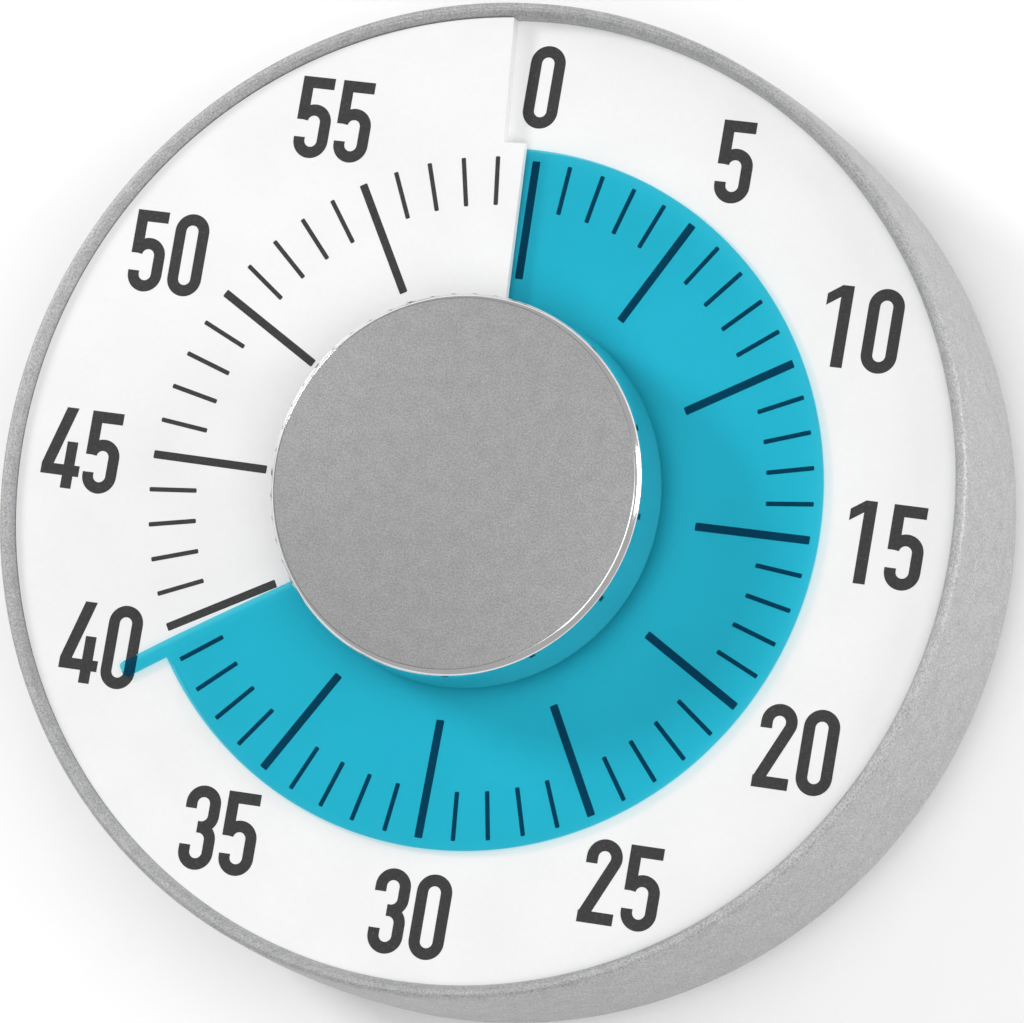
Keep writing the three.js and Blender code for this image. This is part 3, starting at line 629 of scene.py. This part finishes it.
class KITCHENTIMER_OT_marks(bpy.types.Operator):
    """Print the 60 minute marks"""

    bl_idname = "kitchentimer.marks"
    bl_label = "Minute marks"
    bl_options = {"REGISTER", "UNDO"}

    def execute(self, context):
        sizes = context.scene.kitchen_timer_sizes
        colours = context.scene.kitchen_timer_colours
        ink = screen_ink("dial_ink", colours.ink)
        bm = bmesh.new()
        for minute in range(60):
            five = minute % 5 == 0
            width = sizes.five_mark_width if five else sizes.minute_mark_width
            inner = sizes.five_mark_inner if five else sizes.minute_mark_inner
            outer = sizes.mark_outer
            place = (
                Matrix.Rotation(math.radians(-MINUTE * minute), 4, "Z")
                @ Matrix.Translation((0, (inner + outer) / 2, (PRINT_RISE - PRINT_SINK) / 2))
                @ Matrix.Diagonal((width, outer - inner, PRINT_RISE + PRINT_SINK, 1))
            )
            mark = bmesh.ops.create_cube(bm, size=1, matrix=place)["verts"]
            uprights = {
                e for v in mark for e in v.link_edges
                if abs(e.verts[0].co.z - e.verts[1].co.z) > PRINT_RISE
            }
            bmesh.ops.bevel(
                bm, geom=list(uprights), offset=MARK_CORNER, offset_type="OFFSET", segments=3,
                profile=0.5, affect="EDGES", clamp_overlap=True, material=-1,
            )
        finish_piece(lay_on_dial(bm), "minute_marks", ink, "case")
        return {"FINISHED"}


class KITCHENTIMER_OT_numbers(bpy.types.Operator):
    """Print the numbers 0 to 55"""

    bl_idname = "kitchentimer.numbers"
    bl_label = "Numbers"
    bl_options = {"REGISTER", "UNDO"}

    def execute(self, context):
        sizes = context.scene.kitchen_timer_sizes
        digits = {digit: self.digit(digit, strokes) for digit, strokes in stroke_table().items()}
        bm = bmesh.new()
        for minute in range(0, 60, 5):
            text = str(minute)
            middle = self.middle_of(minute, sizes.number_circle)
            for place, digit in enumerate(text):
                offset = (place - (len(text) - 1) / 2) * DIGIT_PITCH * MM
                drawn = len(bm.verts)
                bm.from_mesh(digits[digit])
                bmesh.ops.translate(bm, verts=bm.verts[drawn:], vec=middle + Vector((offset, 0, 0)))
        for mesh in digits.values():
            bpy.data.meshes.remove(mesh)
        finish_piece(lay_on_dial(bm), "dial_numbers", bpy.data.materials["dial_ink"], "case")
        return {"FINISHED"}

    def middle_of(self, minute, circle):
        """Where the middle of a number stands on the dial."""
        if minute == 40:
            return clock_point(circle, MINUTE * minute) + Vector((0, FORTY_RISE, 0))
        return clock_point(circle, MINUTE * minute + NUMBER_TURN)

    def digit(self, name, strokes):
        """One figure round the origin, as a thin closed layer."""
        layers = [bmesh.new(), bmesh.new()]
        for layer, edge, moves in strokes:
            draw_stroke(layers[layer], edge, moves)
        shape = slab(layers[0])
        if layers[1].faces:
            shape = combined("digit_" + name, shape, slab(layers[1]), "UNION")
        bmesh.ops.dissolve_limit(
            shape, angle_limit=math.radians(0.5), verts=shape.verts[:], edges=shape.edges[:],
        )
        bmesh.ops.triangulate(shape, faces=shape.faces[:])
        return mesh_of(shape, "digit_" + name)


class KITCHENTIMER_OT_film(bpy.types.Operator):
    """Build the blue film with its pointer"""

    bl_idname = "kitchentimer.film"
    bl_label = "Blue film"
    bl_options = {"REGISTER", "UNDO"}

    def execute(self, context):
        sizes = context.scene.kitchen_timer_sizes
        colours = context.scene.kitchen_timer_colours
        blue = tinted_film("blue_film", (*colours.film, 1), (*colours.film_body, 1))
        rim = DISH_RADIUS
        span = math.degrees(sizes.pointer_width / rim)
        radii = [FILM_BORE] + [r * MM for r in (12, 16, 20, 23, 25, 26.2, 27, 27.6)] + [rim]
        bm = bmesh.new()
        line = screw_line(bm, radii, FILM_EDGE - FILM_SPAN, lambda r: dish(r) + FILM_TOP)
        line = wind(bm, line, FILM_SPAN - span, round(FILM_SPAN / COLUMN))
        wind(bm, line, span, 6)
        self.draw_pointer(bm, rim, FILM_EDGE - span, sizes)
        thicken(bm, FILM_SKIN)
        finish_piece(bm, "blue_film_disc", blue, "disc", ["time_disc"], crease=30)
        return {"FINISHED"}

    def draw_pointer(self, bm, rim, start, sizes):
        """Draws the film's outer edge out into a straight pointer with a round tip."""
        edges = []
        for e in bm.edges:
            if not e.is_boundary:
                continue
            if min(v.co.xy.length for v in e.verts) < rim - 0.05 * MM:
                continue
            middle = (e.verts[0].co + e.verts[1].co) / 2
            clock = math.degrees(math.atan2(middle.x, middle.y)) % 360
            if start < clock < FILM_EDGE:
                edges.append(e)
        along = clock_point(1, FILM_EDGE)
        across = Vector((along.y, -along.x, 0))
        narrowest = sizes.pointer_width / 2 - POINTER_CORNER
        straight = sizes.pointer_reach - POINTER_CORNER - rim
        turns = [math.pi / 2 * step / POINTER_STEPS for step in range(POINTER_STEPS + 1)]
        out = [POINTER_CORNER * math.sin(turn) for turn in turns]
        aside = [narrowest + POINTER_CORNER * math.cos(turn) for turn in turns]
        reach = [0.4 * straight, 0.6 * straight] + [b - a for a, b in zip(out, out[1:])]
        widths = [1.0, 1.0] + [b / a for a, b in zip(aside, aside[1:])]
        for distance, scale in zip(reach, widths):
            made = bmesh.ops.extrude_edge_only(bm, edges=edges)["geom"]
            edges = only(bmesh.types.BMEdge, made)
            verts = only(bmesh.types.BMVert, made)
            bmesh.ops.translate(bm, verts=verts, vec=along * distance)
            centre = sum((v.co for v in verts), Vector()) / len(verts)
            for v in verts:
                side = (v.co - centre).dot(across)
                v.co += across * side * (scale - 1)
        self.lean_edge(bm, sizes)

    def lean_edge(self, bm, sizes):
        """Lets the film's leading edge trail a little towards the pointer's tip."""
        for v in bm.verts:
            clock = math.degrees(math.atan2(v.co.x, v.co.y)) % 360
            radius = v.co.xy.length
            if radius <= LEAN_START or abs(clock - FILM_EDGE) >= LEAN_BLEND:
                continue
            share = min(1, (clock - FILM_EDGE) / LEAN_BLEND + 1)
            turn = -LEAN * share * (radius - LEAN_START) / (sizes.pointer_reach - LEAN_START)
            v.co = clock_point(radius, clock + turn, v.co.z + SCREW_LIFT * turn / 360)


class KITCHENTIMER_OT_knob(bpy.types.Operator):
    """Build the polished knob and its satin face"""

    bl_idname = "kitchentimer.knob"
    bl_label = "Knob"
    bl_options = {"REGISTER", "UNDO"}

    def execute(self, context):
        sizes = context.scene.kitchen_timer_sizes
        colours = context.scene.kitchen_timer_colours
        polish = polished_metal("knob_polish", colours.rim, roughness=0.09)
        satin = grained_metal(
            "knob_satin", colours.knob, metallic=0.3, roughness=0.6, size=sizes.face_grain,
            contrast=0.19, relief=0.006 * MM,
        )
        outer, top, low = KNOB_HIGH.x, KNOB_HIGH.z, DIAL_HEIGHT + 0.8 * MM
        upper = outer - 0.2 * MM
        edge = FACE_HIGH.x + 0.02 * MM
        face = edge + 0.015 * MM
        seat = FACE_LOW.z - 0.02 * MM
        ceiling = top - 1.8 * MM
        skirt = upper - 1.5 * MM
        boss, boss_end = 4.5 * MM, DIAL_HEIGHT + 1.2 * MM
        body = turned([
            (0, boss_end),
            (boss, boss_end),
            (boss, ceiling),
            (skirt, ceiling),
            (skirt, low + 0.1 * MM),
            (skirt + 0.1 * MM, low),
            (outer - 0.15 * MM, low),
            (outer, low + 0.15 * MM),
            (upper + 0.02 * MM, top - 1.2 * MM),
            (upper, top - 0.52 * MM),
            (upper - 0.03 * MM, top - 0.45 * MM),
            (face + 0.03 * MM, top - 0.04 * MM),
            (face, top - 0.03 * MM),
            (face, seat),
            (0, seat),
        ], closed=False)
        finish_piece(body, "knob", polish, "knob", ["knob_body"], crease=40)
        disc = turned([
            (0, FACE_LOW.z),
            (edge, FACE_LOW.z),
            (edge, top - 0.05 * MM),
            (edge - 0.02 * MM, top - 0.02 * MM),
            (edge - 0.07 * MM, top),
            (0, top),
        ], closed=False)
        finish_piece(disc, "knob_satin_face", satin, "knob", ["knob_face"], crease=40)
        return {"FINISHED"}


class KITCHENTIMER_OT_back(bpy.types.Operator):
    """Build the back cover with its magnet pockets and screw recesses"""

    bl_idname = "kitchentimer.back"
    bl_label = "Back cover"
    bl_options = {"REGISTER", "UNDO"}

    def execute(self, context):
        colours = context.scene.kitchen_timer_colours
        plastic = moulded_plastic(
            "grey_plastic", colours.plastic, roughness=0.55, size=0.3 * MM, relief=0.02 * MM,
            contrast=0.08,
        )
        radius, low, high = COVER_HIGH.x, COVER_LOW.z, COVER_HIGH.z
        groove = 33.4 * MM
        wall = 1.3 * MM
        floor = low + 2 * MM
        below = low - 0.5 * MM
        recess = low + 0.9 * MM
        plate = turned([
            (0, low),
            (groove - 0.5 * MM, low),
            (groove - 0.4 * MM, low + 0.06 * MM),
            (groove - 0.35 * MM, low + 0.35 * MM),
            (groove + 0.35 * MM, low + 0.35 * MM),
            (groove + 0.4 * MM, low + 0.06 * MM),
            (groove + 0.5 * MM, low),
            (radius - 0.5 * MM, low),
            (radius - 0.2 * MM, low + 0.08 * MM),
            (radius - 0.05 * MM, low + 0.25 * MM),
            (radius, low + 0.5 * MM),
            (radius, high),
            (radius - wall, high),
            (radius - wall, floor),
            (0, floor),
        ], closed=False)
        tools = bmesh.new()
        for name in [n for n in frame["nodes"] if n.startswith(("magnet_", "cover_screw_"))]:
            box_low, box_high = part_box(name)
            middle = (box_low + box_high) / 2
            if name.startswith("magnet_"):
                pocket = (box_high.x - box_low.x) / 2 + 0.12 * MM
                self.bore(tools, middle, pocket, below, box_high.z + 0.02 * MM)
            else:
                self.bore(tools, middle, 1.9 * MM, below, recess)
                self.bore(tools, middle, 1.0 * MM, recess - 0.1 * MM, floor + 1 * MM)
        pierced = combined("back_cover", plate, tools, "DIFFERENCE")
        soften(pierced, 0.08 * MM, segments=2, angle=60)
        finish_piece(pierced, "back_cover", plastic, "case", ["rear_cover"], crease=40)
        return {"FINISHED"}

    def bore(self, bm, middle, radius, start, end):
        """Adds a round tool that cuts from start up to end."""
        place = Matrix.Translation((middle.x, middle.y, (start + end) / 2))
        bmesh.ops.create_cone(
            bm, cap_ends=True, cap_tris=False, segments=BORE_SIDES, radius1=radius, radius2=radius,
            depth=end - start, matrix=place,
        )


class KITCHENTIMER_OT_small_parts(bpy.types.Operator):
    """Build the feet, the magnets and the cover screws"""

    bl_idname = "kitchentimer.small_parts"
    bl_label = "Feet, magnets and screws"
    bl_options = {"REGISTER", "UNDO"}

    def execute(self, context):
        colours = context.scene.kitchen_timer_colours
        rubber = moulded_plastic(
            "foot_rubber", colours.rubber, roughness=0.8, size=0.25 * MM, relief=0.02 * MM,
            contrast=0.2,
        )
        nickel = polished_metal("magnet_nickel", colours.nickel, roughness=0.2)
        steel = brushed_metal("screw_steel", colours.steel, roughness=0.3)
        foot = [(1.2, 0.12), (1.0, 0), (0.3, 0), (0.1, 0.1), (0, 0.3)]
        magnet = [(0.3, 0), (0.1, 0.05), (0, 0.25)]
        for number in (1, 2, 3):
            self.add_disc(f"rubber_foot_{number}", foot, rubber, "foot_rubber")
            self.add_disc(f"magnet_{number}", magnet, nickel, "magnet_nickel")
        for number in (1, 2, 3, 4):
            self.add_screw(f"cover_screw_{number}", steel)
        return {"FINISHED"}

    def underside(self, low, radius, corner):
        """A flat underside whose corner points are in from the rim and up from the bottom."""
        points = [(radius - inset * MM, low + up * MM) for inset, up in corner]
        return [(0, points[0][1]), *points]

    def add_disc(self, node, corner, finish, slot):
        low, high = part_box(node)
        radius = (high.x - low.x) / 2
        profile = self.underside(low.z, radius, corner) + [(radius, high.z), (0, high.z)]
        self.put(turned(profile, closed=False), node, finish, slot)

    def add_screw(self, node, finish):
        """A pan head with a driver slot, and its shank."""
        low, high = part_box(node)
        radius = (high.x - low.x) / 2
        seat, shank = low.z + 0.8 * MM, 0.8 * MM
        profile = self.underside(low.z, radius, [(0.25, 0), (0.08, 0.06), (0, 0.22)])
        profile += [(radius, seat), (shank, seat), (shank, high.z), (0, high.z)]
        size = Matrix.Diagonal((4 * MM, 0.42 * MM, 0.62 * MM, 1))
        driver = bmesh.new()
        bmesh.ops.create_cube(driver, size=1, matrix=Matrix.Translation((0, 0, low.z)) @ size)
        shape = combined(node, turned(profile, closed=False), driver, "DIFFERENCE")
        self.put(shape, node, finish, "movement_steel")

    def put(self, shape, node, finish, slot):
        """Moves a part from the axis to its node's place."""
        low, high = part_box(node)
        middle = (low + high) / 2
        moved(shape, Vector((middle.x, middle.y, 0)))
        finish_piece(shape, node + "_piece", finish, "case", [node], crease=40)


class KITCHENTIMER_OT_movement(bpy.types.Operator):
    """Give the pieces of the movement their metals"""

    bl_idname = "kitchentimer.movement"
    bl_label = "Movement finishes"
    bl_options = {"REGISTER", "UNDO"}

    def execute(self, context):
        colours = context.scene.kitchen_timer_colours
        finishes = {
            "movement_brass": brushed_metal("movement_brass", colours.brass, roughness=0.32),
            "movement_steel": brushed_metal("movement_steel", colours.steel, roughness=0.28),
            "grey_plastic": bpy.data.materials["grey_plastic"],
        }
        slots = {row["node"]: row["material_slot"] for row in frame["record"]["subparts"]}
        for name, node in frame["nodes"].items():
            if node.hide_render:
                continue
            node.data.materials.clear()
            node.data.materials.append(finishes[slots[name]])
        return {"FINISHED"}


class KITCHENTIMER_OT_stage(bpy.types.Operator):
    """Set the pale floor, the soft lights and the camera"""

    bl_idname = "kitchentimer.stage"
    bl_label = "Stage"
    bl_options = {"REGISTER", "UNDO"}

    def execute(self, context):
        scene = context.scene
        scene.view_settings.view_transform = "Standard"
        self.add_floor(scene)
        self.add_world(scene)
        for lamp in LAMPS:
            self.add_light(scene, *lamp)
        self.add_camera(scene)
        return {"FINISHED"}

    def add_floor(self, scene):
        bm = bmesh.new()
        bmesh.ops.create_grid(bm, x_segments=1, y_segments=1, size=3)
        tree, shader, pale = plain("floor_pale", {"Roughness": 0.9, "Specular IOR Level": 0.1})
        shade = spread(tree, grain(tree, 4 * MM, 3.0), 0.99, 1.0)
        tree.links.new(tinted(tree, (0.99, 0.99, 0.99), shade), shader.inputs["Base Color"])
        floor = bpy.data.objects.new("floor", mesh_of(bm, "floor"))
        floor.data.materials.append(pale)
        scene.collection.objects.link(floor)

    def add_world(self, scene):
        scene.world = bpy.data.worlds.new("studio")
        scene.world.use_nodes = True
        sky = scene.world.node_tree.nodes["Background"]
        sky.inputs["Color"].default_value = (1, 1, 1, 1)
        sky.inputs["Strength"].default_value = SKY_STRENGTH

    def add_light(self, scene, name, place, size, power):
        light = bpy.data.lights.new(name, "AREA")
        light.energy = power
        light.size = size
        lamp = bpy.data.objects.new(name, light)
        lamp.location = place
        lamp.rotation_euler = (-Vector(place)).to_track_quat("-Z", "Y").to_euler()
        scene.collection.objects.link(lamp)

    def add_camera(self, scene):
        camera = bpy.data.cameras.new("camera")
        camera.lens = CAMERA_LENS
        camera.clip_start = 0.01
        body = bpy.data.objects.new("camera", camera)
        back = CAMERA_BACK.normalized()
        right = CAMERA_UP.cross(back).normalized()
        turn = Matrix((right, back.cross(right), back)).transposed().to_4x4()
        body.matrix_world = Matrix.Translation(CAMERA_PLACE) @ turn
        scene.collection.objects.link(body)
        scene.camera = body


class KITCHENTIMER_PT_panel(bpy.types.Panel):
    """Lists the operators in the order in which they are used"""

    bl_idname = "KITCHENTIMER_PT_panel"
    bl_label = "Kitchen timer"
    bl_space_type = "VIEW_3D"
    bl_region_type = "UI"
    bl_category = "Kitchen timer"

    def draw(self, context):
        for operator in OPERATORS:
            self.layout.operator(operator.bl_idname)
        for group in (context.scene.kitchen_timer_sizes, context.scene.kitchen_timer_colours):
            for name in group.__annotations__:
                self.layout.prop(group, name)


OPERATORS = (
    KITCHENTIMER_OT_case,
    KITCHENTIMER_OT_dial,
    KITCHENTIMER_OT_marks,
    KITCHENTIMER_OT_numbers,
    KITCHENTIMER_OT_film,
    KITCHENTIMER_OT_knob,
    KITCHENTIMER_OT_back,
    KITCHENTIMER_OT_small_parts,
    KITCHENTIMER_OT_movement,
    KITCHENTIMER_OT_stage,
)
CLASSES = (KitchenTimerSizes, KitchenTimerColours, *OPERATORS, KITCHENTIMER_PT_panel)


def register():
    for cls in CLASSES:
        bpy.utils.register_class(cls)
    bpy.types.Scene.kitchen_timer_sizes = bpy.props.PointerProperty(type=KitchenTimerSizes)
    bpy.types.Scene.kitchen_timer_colours = bpy.props.PointerProperty(type=KitchenTimerColours)


def unregister():
    del bpy.types.Scene.kitchen_timer_colours
    del bpy.types.Scene.kitchen_timer_sizes
    for cls in reversed(CLASSES):
        bpy.utils.unregister_class(cls)


def main():
    register()
    for operator in OPERATORS:
        group, name = operator.bl_idname.split(".")
        getattr(getattr(bpy.ops, group), name)()


if __name__ == "__main__":
    main()
